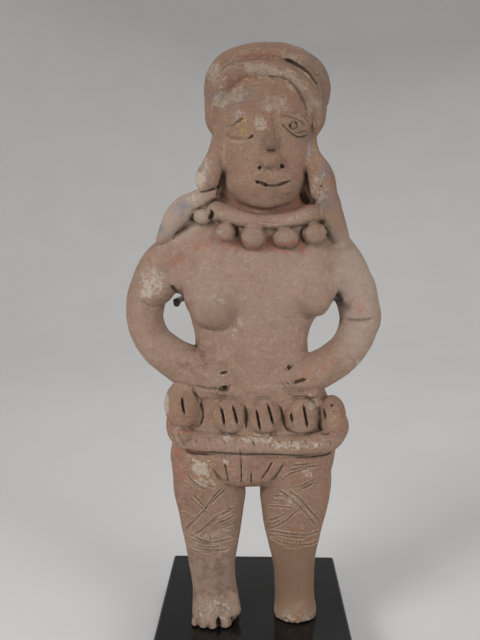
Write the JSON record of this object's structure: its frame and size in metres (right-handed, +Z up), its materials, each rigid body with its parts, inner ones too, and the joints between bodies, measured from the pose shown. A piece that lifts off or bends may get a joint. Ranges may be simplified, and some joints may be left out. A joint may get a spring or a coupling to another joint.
{
  "type": "flat pottery figure",
  "caption": "Flat hand-modelled pottery figure of a standing woman with coiled turban, necklace and belt, on a square plate with two wire hooks.",
  "frame": {"origin": "centre of the base plate's underside", "axes": "+Z up, +X to the viewer's right, the figure faces -Y"},
  "size_m": [0.0808, 0.0636, 0.197],
  "materials": {
    "fired_clay": "unglazed, matte, with pale deposits and traces of red pigment",
    "black_gloss": "polished black",
    "dark_steel": "dark, satin"
  },
  "bodies": {
    "root": {"figure": "fired_clay", "base_plate": "black_gloss", "wire_hook_left": "dark_steel", "wire_hook_right": "dark_steel"}
  },
  "joints": []
}
